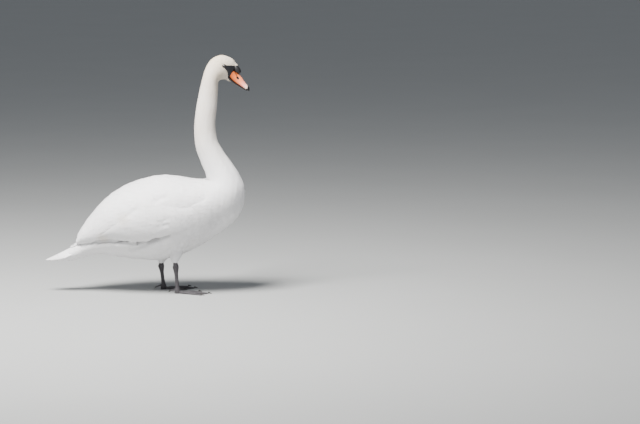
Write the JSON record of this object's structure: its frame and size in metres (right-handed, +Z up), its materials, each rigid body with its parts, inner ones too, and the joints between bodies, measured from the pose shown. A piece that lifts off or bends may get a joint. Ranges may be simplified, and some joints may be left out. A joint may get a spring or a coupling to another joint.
{
  "type": "mute swan",
  "caption": "Adult mute swan standing with its neck raised, wings folded and black-knobbed orange bill lowered; a still life-size figure in one fixed pose.",
  "frame": {"origin": "on the floor under the middle of the bird's bounding box: halfway from tail tip to bill tip, and on the plane that halves its body", "axes": "+X the way the bird faces, from tail to bill; +Y its left; +Z up from the soles to the crown"},
  "size_m": [0.8416, 0.3136, 0.9718],
  "materials": {
    "neck_plumage": "dense short cream-white feathers",
    "body_plumage": "soft overlapping white feathers",
    "flight_feathers": "smooth white vanes",
    "bare_skin": "black bare skin, satin",
    "orange_bill": "orange horn paling to pink towards the tip, satin",
    "bill_horn": "black horn, satin",
    "leg_skin": "dark grey scaled skin",
    "claw_horn": "dark horn, satin",
    "eye": "dark brown, wet gloss"
  },
  "bodies": {
    "root": {"head": "neck_plumage", "eye_right": "eye", "eye_left": "eye", "lore_right": "bare_skin", "lore_left": "bare_skin", "neck_upper": "neck_plumage", "neck_middle": "neck_plumage", "neck_lower": "neck_plumage", "trunk": "body_plumage", "bill_upper": "orange_bill", "bill_knob": "bare_skin", "bill_lower": "bare_skin", "bill_nail": "bill_horn", "wing_right_scapulars": "body_plumage", "wing_right_coverts": "body_plumage", "wing_right_primaries": "flight_feathers", "thigh_right": "body_plumage", "shank_right": "leg_skin", "foot_right": "leg_skin", "claw_right_inner": "claw_horn", "claw_right_middle": "claw_horn", "claw_right_outer": "claw_horn", "claw_right_hind": "claw_horn", "wing_left_scapulars": "body_plumage", "wing_left_coverts": "body_plumage", "wing_left_primaries": "flight_feathers", "thigh_left": "body_plumage", "shank_left": "leg_skin", "foot_left": "leg_skin", "claw_left_inner": "claw_horn", "claw_left_middle": "claw_horn", "claw_left_outer": "claw_horn", "claw_left_hind": "claw_horn", "tail": "flight_feathers"}
  },
  "joints": []
}
